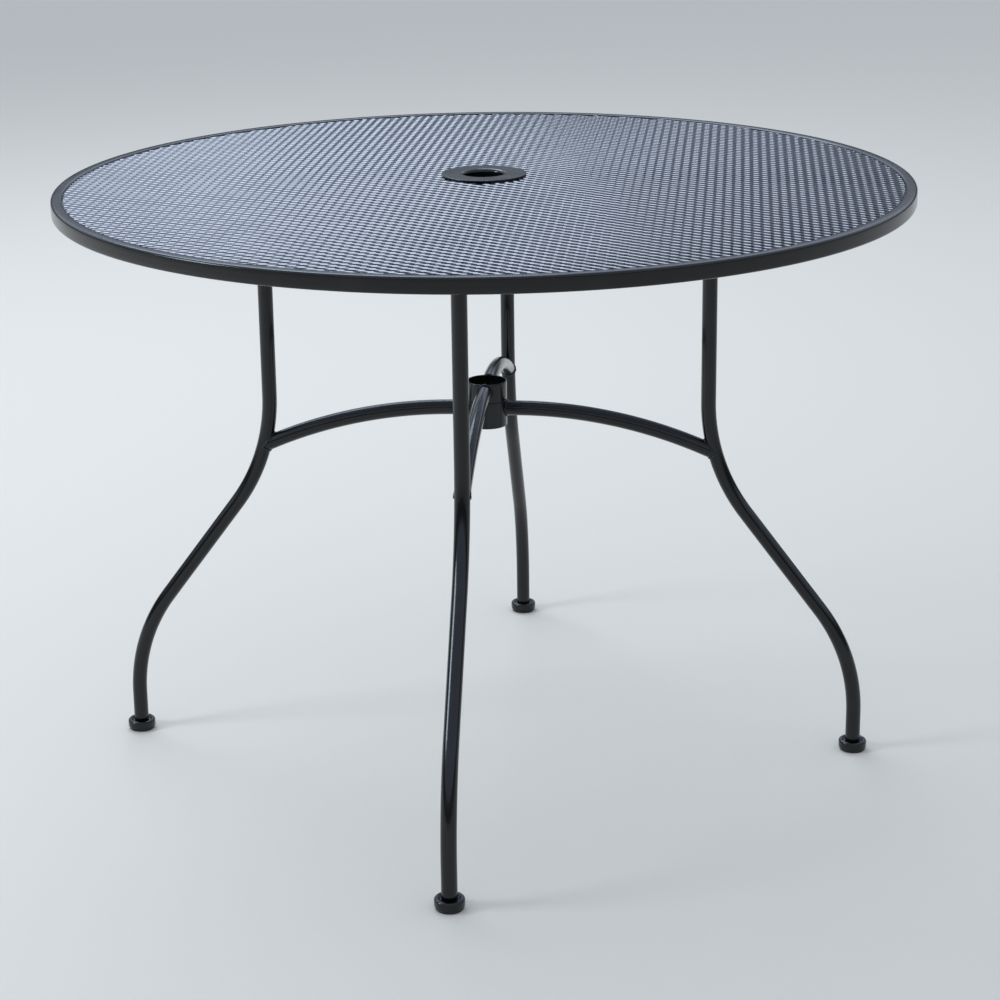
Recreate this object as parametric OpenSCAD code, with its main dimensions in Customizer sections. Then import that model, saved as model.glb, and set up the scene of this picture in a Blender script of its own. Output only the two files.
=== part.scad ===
// Round garden table: a mesh top in a tube rim, on four bent tube legs.
// Millimetres. +Z is up, the feet stand on z = 0 and the pole hole lies on the Z axis.
// The side legs stand on the X axis and meet at the lower collar.
// The front and back legs stand on the Y axis and meet at the upper collar.

/* [Rim] */
// Outer diameter of the rim
top_d = 1060; // [960:10:1160]
// Height of the rim's top face above the floor
top_h = 750; // [710:5:780]
// Height of the rim tube
rim_h = 19; // [18:1:28]
// Width of the rim tube
rim_w = 15; // [12:1:20]
// Wall of the rim tube
rim_wall = 1.5; // [1:0.1:2.5]
// Radius of the rim tube's outer corners
rim_corner = 3; // [2:0.5:4]

/* [Mesh] */
// Thickness of the mesh
mesh_t = 2; // [1.5:0.5:3]
// Depth of the mesh's edge below the rim's top face
mesh_drop = 1.5; // [0.5:0.5:3]
// Rise of the mesh from its edge to its centre
mesh_crown = 8; // [4:1:12]
// Pitch of the gaps along X
gap_pitch_x = 104; // [86:2:110]
// Pitch of the gaps along Y
gap_pitch_y = 62; // [58:2:80]
// Width of the strands between the gaps
strand_w = 9; // [6:1:14]
// Width of the plain band along the rim and round the pole plate
mesh_band = 6; // [4:1:12]

/* [Pole plate] */
// Outer diameter of the pole plate
plate_d = 105; // [90:1:120]
// Thickness of the pole plate
plate_t = 3; // [2.5:0.5:4]
// Diameter of the plate's bore
plate_bore_d = 50; // [46:1:56]
// Radius of the rolled mouth of the bore
mouth_r = 4; // [2:0.5:4.5]
// Radius of the plate's outer top edge
plate_edge_r = 1; // [0.5:0.1:1.5]
// Length of the neck under the plate
neck_l = 16; // [10:1:20]
// Wall of the neck
neck_wall = 2; // [1.5:0.5:3]

/* [Hub and rails] */
// Wall of the hub ring under the mesh
hub_wall = 4; // [3:0.5:6]
// Height of the hub ring
hub_h = 24; // [21:1:30]
// Width of a rail
rail_w = 20; // [18:1:26]
// Height of a rail
rail_h = 15; // [13:1:17]
// Wall of a rail
rail_wall = 1.5; // [1:0.1:2]

/* [Legs] */
// Outer diameter of the leg and brace tube
tube_d = 19; // [16:1:22]
// Wall of the leg and brace tube
tube_wall = 1.5; // [1:0.1:2]
// Distance from the table's axis to the upright part of a leg
leg_r = 281; // [250:1:320]
// Height at which a leg starts to bend outwards
bend_z = 469; // [462:1:485]
// Radius of the upper bend, on the tube's centre line
upper_bend_r = 244; // [220:2:260]
// Length of the straight part between the bends
slope_l = 163; // [140:1:175]
// Radius of the lower bend, on the tube's centre line
lower_bend_r = 232; // [210:2:250]

/* [Braces and collars] */
// Inner diameter of the collars
collar_bore_d = 48; // [44:1:54]
// Wall of the collars
collar_wall = 1.5; // [1.5:0.1:3]
// Height of the lower collar's bottom edge above the floor
collar_z = 435; // [425:1:445]
// Height of the lower collar
lower_collar_h = 34; // [32:1:40]
// Height of the upper collar
upper_collar_h = 24; // [23:1:30]
// Depth of the side braces' centre line below the top of the lower collar
lower_brace_drop = 12; // [11:0.5:14]
// Depth of the other braces' centre line below the top of the upper collar
upper_brace_drop = 10; // [9.5:0.5:12]
// Length of a brace's level part, from the table's axis
brace_level_r = 40; // [32:1:60]
// Height at which the side braces meet their legs
side_joint_z = 402; // [390:1:412]
// Height at which the front and back braces meet their legs
front_joint_z = 430; // [415:1:440]

/* [Leg plates and bolts] */
// Length of a leg plate
leg_plate_l = 64; // [60:1:72]
// Width of a leg plate
leg_plate_w = 22; // [20:1:26]
// Thickness of a leg plate
leg_plate_t = 4; // [3:0.5:5]
// Distance of each bolt from the leg's centre line
bolt_out = 22; // [20:1:23]
// Diameter of a bolt's shank
bolt_d = 6; // [5:0.5:6.5]
// Width across the corners of a bolt head and a nut
hex_d = 11.5; // [11:0.1:12]
// Height of a bolt head
head_h = 4; // [3:0.5:5]
// Height of a nut
nut_h = 5; // [4:0.5:6]
// Diameter of a washer
washer_d = 13; // [12:0.5:14]
// Thickness of a washer
washer_t = 1.6; // [1:0.2:2]
// Length of a bolt's tip beyond its nut
bolt_tip = 2; // [1:0.5:3]

/* [Feet] */
// Diameter of a foot
foot_d = 36; // [32:1:44]
// Height of a foot's lip above the floor
foot_h = 14; // [13:0.5:18]
// Radius of the foot's lip and lower edge
foot_edge_r = 1.5; // [1:0.1:2]
// Width of the lip round the dish in the foot
lip_w = 3; // [2.5:0.5:4]
// Thickness of the foot under the dish
foot_floor = 5; // [4.5:0.5:6]
// Thickness of the glide pad
pad_h = 3; // [2:0.5:4]
// Amount by which the pad's radius is less than the foot's
pad_inset = 1.5; // [1:0.5:3]
// Width of the pad's lower chamfer
pad_chamfer = 1; // [0.5:0.1:1.5]
// Diameter of the pad's stem
stem_d = 8; // [6:0.5:10]
// Length of the pad's stem
stem_l = 3; // [2:0.5:3.5]

/* [Welds and clearances] */
// Width of a weld bead
bead_w = 2.2; // [1.5:0.1:3]
// Root gap between two welded pieces
root_gap = 0.2; // [0.1:0.05:0.4]
// Gap between a bead and the tube it lies on
bead_gap = 0.15; // [0.15:0.05:0.3]
// Gap between the mesh and what it lies on
seat_gap = 0.1; // [0.05:0.05:0.3]
// Gap between the two collars
collar_gap = 0.3; // [0.1:0.1:0.8]
// Radial clearance of the neck in the hub ring
neck_clear = 0.3; // [0.1:0.1:0.6]
// Radial clearance of the bolt holes
hole_clear = 0.3; // [0.2:0.1:0.5]
// Radial clearance of a bolt in its nut
thread_clear = 0.1; // [0.05:0.05:0.2]
// Clearance of a pad's stem in the foot, all round
stem_clear = 0.15; // [0.1:0.05:0.3]

/* [Hidden] */

// Facets of round surfaces: the rim and mesh, and everything else
fine = 180;
round_fn = 48;
// Overrun of a cut past the face that it opens
cut = 1;
// Lap of a tube's stretches on each other, which joins them
lap = 0.00001;

// Directions of the legs, in degrees about Z
front = -90;
back = 90;
left = 180;
right = 0;
SIDES = [right, left];
ENDS = [front, back];
ALL = [right, left, front, back];

tube_r = tube_d / 2;
rim_r = top_d / 2;
rim_in_r = rim_r - rim_w;
plate_r = plate_d / 2;
bore_r = plate_bore_d / 2;
neck_r = bore_r + neck_wall;
hub_in_r = neck_r + neck_clear;
hub_r = hub_in_r + hub_wall;

// The mesh rises in a straight slope from its edge to the hub
mesh_r = rim_in_r - root_gap;
mesh_edge_z = top_h - mesh_drop;
mesh_top_z = mesh_edge_z + mesh_crown;
crown_a = atan(mesh_crown / (mesh_r - hub_r));
apex_z = mesh_top_z + hub_r * tan(crown_a);

// Levels across a rail, measured square to the sloping mesh
rail_top = -mesh_t - seat_gap;
rail_low = rail_top - rail_h;
leg_plate_low = rail_low - leg_plate_t;
washer_low = leg_plate_low - washer_t;
head_low = washer_low - head_h;
nut_low = rail_low + rail_wall;
tip_top = nut_low + nut_h + bolt_tip;

// Between its bends a leg drops 4 for every 3 that it goes outwards
slope_sin = 0.6;
slope_cos = 0.8;

// Ends of the leg's straight and bent stretches, as distance from the axis and height
knee_r = leg_r + upper_bend_r * (1 - slope_cos);
knee_z = bend_z - upper_bend_r * slope_sin;
shin_r = knee_r + slope_l * slope_sin;
shin_z = knee_z - slope_l * slope_cos;
foot_r = shin_r + lower_bend_r * (1 - slope_cos);
ankle_z = shin_z - lower_bend_r * slope_sin;
dish_z = pad_h + foot_floor;

collar_r = collar_bore_d / 2 + collar_wall;
lower_collar_top = collar_z + lower_collar_h;
upper_collar_z = lower_collar_top + collar_gap;
upper_collar_top = upper_collar_z + upper_collar_h;
side_brace_z = lower_collar_top - lower_brace_drop;
front_brace_z = upper_collar_top - upper_brace_drop;

STEEL = "#1b1c1e";
MESH = "#24272c";
PLASTIC = "#101112";
ZINC = "#8a8d90";

// Distance along a sloping rail at which a point of radius r and level z lies
function rail_x(r, z) = (r - z * sin(crown_a)) / cos(crown_a);

// Turn of the leg's upper bend at height z, and the leg's radius there
function bend_turn(z) = asin((bend_z - z) / upper_bend_r);
function bend_radius(z) = leg_r + upper_bend_r * (1 - cos(bend_turn(z)));

// Radius of a brace's arc, and its turn, from its level part down to its leg
function brace_span(joint_z) = bend_radius(joint_z) - brace_level_r;
function brace_arc_r(level_z, joint_z) =
    (pow(brace_span(joint_z), 2) + pow(level_z - joint_z, 2)) / (2 * (level_z - joint_z));
function brace_turn(level_z, joint_z) = asin(brace_span(joint_z) / brace_arc_r(level_z, joint_z));

// Section shapes

module rounded_box_2d(w, h, r) {
    translate([r, 0]) square([w - 2 * r, h]);
    translate([0, r]) square([w, h - 2 * r]);
    for (x = [r, w - r], y = [r, h - r]) translate([x, y]) circle(r, $fn = round_fn);
}

// A ring in the XZ plane, of a round section of radius r
module ring_xz(centre_x, centre_z, bend_r, r) {
    translate([centre_x, 0, centre_z]) rotate([90, 0, 0])
        rotate_extrude($fn = fine) translate([bend_r, 0]) circle(r, $fn = round_fn);
}

// The part of a leg's bend between level and sloping ends: side is -1 above the slope and 1 below it
module leg_bend(centre_x, centre_z, bend_r, side, r) {
    reach = bend_r + tube_d;
    intersection() {
        ring_xz(centre_x, centre_z, bend_r, r);
        translate([centre_x, tube_d, centre_z]) rotate([90, 0, 0]) linear_extrude(2 * tube_d)
            polygon([[0, 0], [side * reach, 0], [side * reach, side * reach * slope_sin / slope_cos]]);
    }
}

// Frame of a rail: X runs outwards down the slope of the mesh, Z is square to it
module rail_frame(azimuth) {
    rotate([0, 0, azimuth]) translate([0, 0, apex_z]) rotate([0, crown_a, 0]) children();
}

// Every bolt's place on the leg plates, in its rail's frame
module each_bolt() {
    for (azimuth = ALL, side = [-1, 1])
        rail_frame(azimuth) translate([rail_x(leg_r, leg_plate_low) + side * bolt_out, 0, 0]) children();
}

// Table top

module rim_ring() {
    color(STEEL) translate([0, 0, top_h - rim_h]) rotate_extrude($fn = fine) translate([rim_in_r, 0])
        difference() {
            rounded_box_2d(rim_w, rim_h, rim_corner);
            translate([rim_wall, rim_wall])
                rounded_box_2d(rim_w - 2 * rim_wall, rim_h - 2 * rim_wall, rim_corner - rim_wall / 2);
        }
}

module mesh_blank() {
    rotate_extrude($fn = fine) polygon([
        [hub_in_r, mesh_top_z - mesh_t], [hub_r, mesh_top_z - mesh_t], [mesh_r, mesh_edge_z - mesh_t],
        [mesh_r, mesh_edge_z], [hub_r, mesh_top_z], [hub_in_r, mesh_top_z]
    ]);
}

// Half diagonals of a gap, drawn in so that the strands between gaps have their width
half_x = gap_pitch_x / 2;
half_y = gap_pitch_y / 2;
draw_in = 1 - strand_w / 2 * norm([half_x, half_y]) / (half_x * half_y);
GAP = [[half_x, 0], [0, half_y], [-half_x, 0], [0, -half_y]] * draw_in;

// The bands along the rim and round the plate cut off the gaps that they cross
gap_out_r = mesh_r - mesh_band;
gap_in_r = plate_r + mesh_band;
// Least reach of a cut gap past its band
gap_reach = 16;

// Distance from the table's axis to the edge between two corners of a gap
function edge_distance(p, q) = let (along = q - p, part = -(p * along) / (along * along))
    norm(p + along * max(0, min(1, part)));
function gap_corners(c) = [for (p = GAP) p + c];
function gap_near(c) = min([for (p = gap_corners(c)) norm(p)]);
function gap_far(c) = max([for (p = gap_corners(c)) norm(p)]);
function gap_is_kept(c) = gap_near(c) < gap_out_r - gap_reach && gap_far(c) > gap_in_r + gap_reach;
function meets_plate_band(c) = let (g = gap_corners(c))
    min([for (i = [0:3]) edge_distance(g[i], g[(i + 1) % 4])]) < gap_in_r;

gap_steps_x = ceil(mesh_r / half_x);
gap_steps_y = ceil(mesh_r / half_y);
GAPS = [
    for (i = [-gap_steps_x:gap_steps_x], j = [-gap_steps_y:gap_steps_y])
        if ((i + j) % 2 == 0 && gap_is_kept([i * half_x, j * half_y])) [i * half_x, j * half_y]
];

module gap_2d(c) {
    if (gap_far(c) > gap_out_r) intersection() {
        polygon(GAP);
        translate(-c) circle(gap_out_r, $fn = fine);
    }
    else if (meets_plate_band(c)) difference() {
        polygon(GAP);
        translate(-c) circle(gap_in_r, $fn = fine);
    }
    else polygon(GAP);
}

module mesh_panel() {
    color(MESH) difference() {
        mesh_blank();
        for (c = GAPS) translate([c[0], c[1], mesh_edge_z - mesh_t - cut])
            linear_extrude(mesh_crown + mesh_t + 2 * cut) gap_2d(c);
    }
}

module pole_plate() {
    top = mesh_top_z + plate_t;
    color(STEEL) rotate_extrude($fn = fine) union() {
        difference() {
            translate([bore_r, mesh_top_z]) square([plate_r - bore_r, plate_t]);
            translate([bore_r, top - mouth_r]) square(mouth_r);
            translate([plate_r - plate_edge_r, top - plate_edge_r]) square(plate_edge_r + cut);
        }
        translate([plate_r - plate_edge_r, top - plate_edge_r]) circle(plate_edge_r, $fn = round_fn);
        intersection() {
            translate([bore_r + mouth_r, top - mouth_r]) circle(mouth_r, $fn = round_fn);
            translate([bore_r, mesh_top_z]) square([mouth_r, plate_t]);
        }
        difference() {
            translate([bore_r, mesh_top_z - neck_l]) square([neck_wall, neck_l]);
            translate([bore_r, top - mouth_r]) square(mouth_r);
        }
        intersection() {
            translate([bore_r + mouth_r, top - mouth_r]) circle(mouth_r, $fn = round_fn);
            translate([bore_r, mesh_top_z - neck_l]) square([neck_wall, neck_l]);
        }
    }
}

module hub_ring() {
    color(STEEL) translate([0, 0, mesh_top_z - mesh_t - seat_gap - hub_h])
        linear_extrude(hub_h) difference() {
            circle(hub_r, $fn = round_fn);
            circle(hub_in_r, $fn = round_fn);
        }
}

module rail(azimuth) {
    out_r = rim_in_r - root_gap;
    in_r = hub_r + root_gap;
    color(STEEL) difference() {
        intersection() {
            rail_frame(azimuth) translate([0, -rail_w / 2, rail_low]) difference() {
                cube([rim_r, rail_w, rail_h]);
                translate([-cut, rail_wall, rail_wall])
                    cube([rim_r + 2 * cut, rail_w - 2 * rail_wall, rail_h - 2 * rail_wall]);
            }
            cylinder(h = apex_z + cut, r = out_r, $fn = fine);
        }
        cylinder(h = apex_z + cut, r = in_r, $fn = round_fn);
        for (side = [-1, 1]) rail_frame(azimuth)
            translate([rail_x(leg_r, leg_plate_low) + side * bolt_out, 0, rail_low - cut])
                cylinder(h = rail_wall + 2 * cut, r = bolt_d / 2 + hole_clear, $fn = round_fn);
    }
}

// Legs and braces

// A leg's whole path as a bar of radius r, with each end made longer by over
module leg_path(r, over) {
    translate([leg_r, 0, bend_z - lap]) cylinder(h = top_h - bend_z + over + lap, r = r, $fn = round_fn);
    leg_bend(leg_r + upper_bend_r, bend_z, upper_bend_r, -1, r);
    multmatrix([
        [-slope_cos, 0, slope_sin, knee_r - lap * slope_sin],
        [0, 1, 0, 0],
        [-slope_sin, 0, -slope_cos, knee_z + lap * slope_cos]
    ]) cylinder(h = slope_l + 2 * lap, r = r, $fn = round_fn);
    leg_bend(foot_r - lower_bend_r, ankle_z, lower_bend_r, 1, r);
    translate([foot_r, 0, dish_z - over]) cylinder(h = ankle_z - dish_z + over + lap, r = r, $fn = round_fn);
}

module leg(azimuth) {
    color(STEEL) difference() {
        rotate([0, 0, azimuth]) leg_path(tube_r, 0);
        rotate([0, 0, azimuth]) leg_path(tube_r - tube_wall, cut);
        rail_frame(azimuth) translate([leg_r - tube_d, -tube_d, leg_plate_low])
            cube([2 * tube_d, 2 * tube_d, rim_h + mesh_crown]);
    }
}

// A brace's whole path as a bar of radius r, from the table's axis to its leg's centre line
module brace_path(level_z, joint_z, r) {
    arc_r = brace_arc_r(level_z, joint_z);
    translate([0, 0, level_z]) rotate([0, 90, 0]) cylinder(h = brace_level_r, r = r, $fn = round_fn);
    translate([brace_level_r, 0, level_z - arc_r]) rotate([90, 0, 0]) mirror([1, 0, 0]) rotate([0, 0, 90])
        rotate_extrude(angle = brace_turn(level_z, joint_z), $fn = fine) translate([arc_r, 0])
            circle(r, $fn = round_fn);
}

// The stretch of the leg round a brace's end, made thicker by more
module leg_at_joint(joint_z, more) {
    translate([bend_radius(joint_z), 0, joint_z]) rotate([0, -bend_turn(joint_z), 0])
        cylinder(h = 4 * tube_d, r = tube_r + more, center = true, $fn = round_fn);
}

module collar_core(level_z, more) {
    translate([0, 0, level_z - 2 * tube_d]) cylinder(h = 4 * tube_d, r = collar_r + more, $fn = round_fn);
}

module brace(azimuth, level_z, joint_z) {
    color(STEEL) rotate([0, 0, azimuth]) difference() {
        brace_path(level_z, joint_z, tube_r);
        brace_path(level_z, joint_z, tube_r - tube_wall);
        leg_at_joint(joint_z, root_gap);
        collar_core(level_z, root_gap);
    }
}

module collar(low_z, h) {
    color(STEEL) translate([0, 0, low_z]) linear_extrude(h) difference() {
        circle(collar_r, $fn = round_fn);
        circle(collar_bore_d / 2, $fn = round_fn);
    }
}

// A bead follows the seam of two round pieces: it lies inside both when they are thickened by its width

module collar_bead(level_z) {
    difference() {
        intersection() {
            translate([0, 0, level_z]) rotate([0, 90, 0])
                cylinder(h = brace_level_r, r = tube_r + bead_w, $fn = round_fn);
            collar_core(level_z, bead_w);
        }
        translate([-cut, 0, level_z]) rotate([0, 90, 0])
            cylinder(h = brace_level_r + 2 * cut, r = tube_r + bead_gap, $fn = round_fn);
        collar_core(level_z, bead_gap);
    }
}

module collar_welds() {
    color(STEEL) {
        for (azimuth = SIDES) rotate([0, 0, azimuth]) collar_bead(side_brace_z);
        for (azimuth = ENDS) rotate([0, 0, azimuth]) collar_bead(front_brace_z);
    }
}

// Leg plates and bolts

module leg_plate(azimuth) {
    middle = rail_x(leg_r, leg_plate_low);
    color(STEEL) difference() {
        rail_frame(azimuth) translate([middle - leg_plate_l / 2, -leg_plate_w / 2, leg_plate_low])
            cube([leg_plate_l, leg_plate_w, leg_plate_t]);
        for (side = [-1, 1]) rail_frame(azimuth)
            translate([middle + side * bolt_out, 0, leg_plate_low - cut])
                cylinder(h = leg_plate_t + 2 * cut, r = bolt_d / 2 + hole_clear, $fn = round_fn);
    }
}

module leg_bolts() {
    color(ZINC) each_bolt() {
        translate([0, 0, head_low]) cylinder(h = head_h, d = hex_d, $fn = 6);
        translate([0, 0, washer_low]) cylinder(h = tip_top - washer_low, d = bolt_d, $fn = round_fn);
    }
}

module leg_washers() {
    color(ZINC) each_bolt() translate([0, 0, washer_low]) linear_extrude(washer_t) difference() {
        circle(d = washer_d, $fn = round_fn);
        circle(bolt_d / 2 + hole_clear, $fn = round_fn);
    }
}

module leg_nuts() {
    color(ZINC) each_bolt() translate([0, 0, nut_low]) linear_extrude(nut_h) difference() {
        circle(d = hex_d, $fn = 6);
        circle(bolt_d / 2 + thread_clear, $fn = round_fn);
    }
}

// Feet

module foot(azimuth) {
    r = foot_d / 2;
    dish_r = r - lip_w;
    color(STEEL) rotate([0, 0, azimuth]) translate([foot_r, 0, 0]) rotate_extrude($fn = round_fn)
        difference() {
            intersection() {
                translate([-r, pad_h]) rounded_box_2d(foot_d, foot_h - pad_h, foot_edge_r);
                translate([0, pad_h]) square([r, foot_h]);
            }
            translate([-cut, dish_z]) square([dish_r + cut, foot_h]);
            translate([-cut, pad_h - cut]) square([stem_d / 2 + stem_clear + cut, stem_l + stem_clear + cut]);
        }
}

module pad(azimuth) {
    r = foot_d / 2 - pad_inset;
    color(PLASTIC) rotate([0, 0, azimuth]) translate([foot_r, 0, 0]) rotate_extrude($fn = round_fn)
        polygon([
            [0, 0], [r - pad_chamfer, 0], [r, pad_chamfer], [r, pad_h],
            [stem_d / 2, pad_h], [stem_d / 2, pad_h + stem_l], [0, pad_h + stem_l]
        ]);
}

module foot_welds() {
    color(STEEL) for (azimuth = ALL) rotate([0, 0, azimuth]) translate([foot_r, 0, dish_z])
        rotate_extrude($fn = round_fn) intersection() {
            translate([tube_r + bead_gap, 0]) circle(bead_w, $fn = round_fn);
            translate([tube_r + bead_gap, 0]) square(bead_w);
        }
}

rim_ring();
mesh_panel();
pole_plate();
hub_ring();
rail(front);  // rail_front
rail(back);  // rail_back
rail(left);  // rail_left
rail(right);  // rail_right
leg(front);  // leg_front
leg(back);  // leg_back
leg(left);  // leg_left
leg(right);  // leg_right
brace(front, front_brace_z, front_joint_z);  // brace_front
brace(back, front_brace_z, front_joint_z);  // brace_back
brace(left, side_brace_z, side_joint_z);  // brace_left
brace(right, side_brace_z, side_joint_z);  // brace_right
collar(upper_collar_z, upper_collar_h);  // upper_collar
collar(collar_z, lower_collar_h);  // lower_collar
leg_plate(front);  // leg_plate_front
leg_plate(back);  // leg_plate_back
leg_plate(left);  // leg_plate_left
leg_plate(right);  // leg_plate_right
leg_bolts();
leg_washers();
leg_nuts();
collar_welds();
foot_welds();
foot(front);  // foot_front
foot(back);  // foot_back
foot(left);  // foot_left
foot(right);  // foot_right
pad(front);  // pad_front
pad(back);  // pad_back
pad(left);  // pad_left
pad(right);  // pad_right
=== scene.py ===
import logging
import math
from dataclasses import asdict, dataclass
from enum import Enum
from typing import ClassVar, Sequence

import bpy
import numpy as np
from mathutils import Matrix, Vector


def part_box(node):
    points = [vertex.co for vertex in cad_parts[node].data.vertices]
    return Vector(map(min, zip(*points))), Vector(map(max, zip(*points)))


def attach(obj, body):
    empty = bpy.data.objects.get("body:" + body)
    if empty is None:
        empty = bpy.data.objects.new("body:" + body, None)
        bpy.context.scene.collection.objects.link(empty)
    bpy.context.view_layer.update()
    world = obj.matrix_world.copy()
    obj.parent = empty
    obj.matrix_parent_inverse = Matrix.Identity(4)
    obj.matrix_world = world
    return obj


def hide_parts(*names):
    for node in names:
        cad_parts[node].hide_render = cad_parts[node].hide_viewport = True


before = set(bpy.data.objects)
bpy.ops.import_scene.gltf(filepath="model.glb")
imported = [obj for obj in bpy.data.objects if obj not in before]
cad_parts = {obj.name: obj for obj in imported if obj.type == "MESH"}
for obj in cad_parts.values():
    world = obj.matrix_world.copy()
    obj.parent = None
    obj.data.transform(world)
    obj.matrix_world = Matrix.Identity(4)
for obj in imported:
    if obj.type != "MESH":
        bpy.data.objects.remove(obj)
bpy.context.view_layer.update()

LOG = logging.getLogger("garden_table")

MM = 0.001
BODY = "root"

Points = np.ndarray
Socket = bpy.types.NodeSocket
Pair = tuple[float, float]
Section = list[Pair]
Place = tuple[float, float, float]
Colour = tuple[float, float, float]
Lines = Sequence[tuple[Points, bool]]

ORIGIN: Place = (0.0, 0.0, 0.0)


class Side(Enum):
    """A leg of the table, by the direction in which it stands, in degrees about Z."""

    RIGHT = 0.0
    LEFT = 180.0
    FRONT = -90.0
    BACK = 90.0

    @property
    def word(self) -> str:
        """The side's name as the CAD nodes spell it."""
        return self.name.lower()

    @property
    def lies_across(self) -> bool:
        """Whether the leg stands on the X axis, so that its brace meets the lower collar."""
        return self in (Side.RIGHT, Side.LEFT)


class Slot(Enum):
    """The record's material slots that the pieces made here belong to."""

    COAT = "black_powder_coat"
    MESH = "mesh_powder_coat"


# Sizes that several pieces share


@dataclass(frozen=True)
class TableSizes:
    """The table's main sizes in metres, as the CAD has them."""

    top_h: float = 750 * MM
    rim_r: float = 530 * MM
    rim_w: float = 15 * MM
    rim_h: float = 19 * MM
    rim_corner: float = 3 * MM
    mesh_gap: float = 0.25 * MM
    mesh_drop: float = 1.5 * MM
    mesh_crown: float = 8 * MM
    mesh_t: float = 2 * MM
    hub_r: float = 31.3 * MM
    tube_r: float = 9.5 * MM
    leg_r: float = 281 * MM
    bend_z: float = 469 * MM
    upper_bend_r: float = 244 * MM
    slope_l: float = 163 * MM
    slope_sine: float = 0.6
    slope_cosine: float = 0.8
    lower_bend_r: float = 232 * MM
    collar_r: float = 25.5 * MM
    side_brace_z: float = 457 * MM
    front_brace_z: float = 483.3 * MM
    side_joint_z: float = 402 * MM
    front_joint_z: float = 430 * MM
    brace_level_r: float = 40 * MM
    dish_z: float = 8 * MM
    rail_w: float = 20 * MM
    rail_h: float = 15 * MM

    @property
    def mesh_r(self) -> float:
        """Outer radius of the mesh, just inside the rim."""
        return self.rim_r - self.rim_w - self.mesh_gap

    @property
    def crown_slope(self) -> float:
        """Rise of the mesh towards the middle, per metre."""
        return self.mesh_crown / (self.mesh_r - self.hub_r)

    @property
    def bends_r(self) -> float:
        """Radii of a leg's two bends together."""
        return self.upper_bend_r + self.lower_bend_r

    @property
    def foot_r(self) -> float:
        """Distance from the table's axis to a foot's middle."""
        return self.leg_r + (1 - self.slope_cosine) * self.bends_r + self.slope_sine * self.slope_l


SIZES = TableSizes()


# New meshes and objects


def placed(name: str, data: bpy.types.ID) -> bpy.types.Object:
    """Puts a mesh, lamp or camera in the scene as an object.

    Args:
        name: The object's name.
        data: What it shows.

    Returns:
        The object.
    """
    made = bpy.data.objects.new(name, data)
    bpy.context.scene.collection.objects.link(made)
    return made


def new_mesh(name: str, vertices: Sequence, edges: Sequence, faces: Sequence) -> bpy.types.Mesh:
    """Makes a mesh.

    Args:
        name: The mesh's name.
        vertices: Its points.
        edges: Its loose edges, by the numbers of their points.
        faces: Its faces, by the numbers of their points.

    Returns:
        The mesh.
    """
    mesh = bpy.data.meshes.new(name)
    mesh.from_pydata(vertices, edges, faces)
    return mesh


def smooth_to(piece: bpy.types.Object, degrees: float) -> None:
    """Shades a piece smooth, but for the edges that turn by more than an angle."""
    piece.data.shade_smooth()
    piece.data.set_sharp_from_angle(angle=math.radians(degrees))


def mount_piece(piece: bpy.types.Object, slot: Slot, *nodes: str) -> None:
    """Rides a finished piece on the table and hides the CAD nodes that it stands for.

    Args:
        piece: The piece, in place.
        slot: Not used.
        nodes: CAD nodes that it stands for.
    """
    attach(piece, BODY)
    if nodes:
        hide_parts(*nodes)
    LOG.info("%s: %d faces", piece.name, len(piece.data.polygons))


# Node trees


class NodeTree:
    """A node tree that is built step by step."""

    def __init__(self, tree: bpy.types.NodeTree) -> None:
        """Takes up a tree."""
        self.tree = tree

    def fill(self, socket: Socket, value: object) -> None:
        """Links an output to a socket, or sets the socket's own value.

        Args:
            socket: The socket.
            value: The output or the value.
        """
        if isinstance(value, bpy.types.NodeSocket):
            self.tree.links.new(value, socket)
        else:
            socket.default_value = value

    def node(
        self, kind: str, *values: object, settings: dict[str, object] | None = None, **sockets: object
    ) -> bpy.types.bpy_prop_collection:
        """Adds a node and fills its inputs.

        Args:
            kind: The node's type.
            values: Values or output sockets for the first inputs, in their order.
            settings: Properties to set on the node.
            sockets: Values or output sockets by input name, with underscores for spaces.

        Returns:
            The new node's outputs.
        """
        made = self.tree.nodes.new(kind)
        for key, value in (settings or {}).items():
            setattr(made, key, value)
        for socket, value in zip(made.inputs, values):
            self.fill(socket, value)
        for key, value in sockets.items():
            self.fill(made.inputs[key.replace("_", " ")], value)
        return made.outputs

    def math(self, operation: str, *values: object) -> Socket:
        """A Math node's result for the values given."""
        return self.node("ShaderNodeMath", *values, settings={"operation": operation})[0]

    def times(self, first: object, second: object) -> Socket:
        """The product of two numbers."""
        return self.math("MULTIPLY", first, second)


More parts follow.
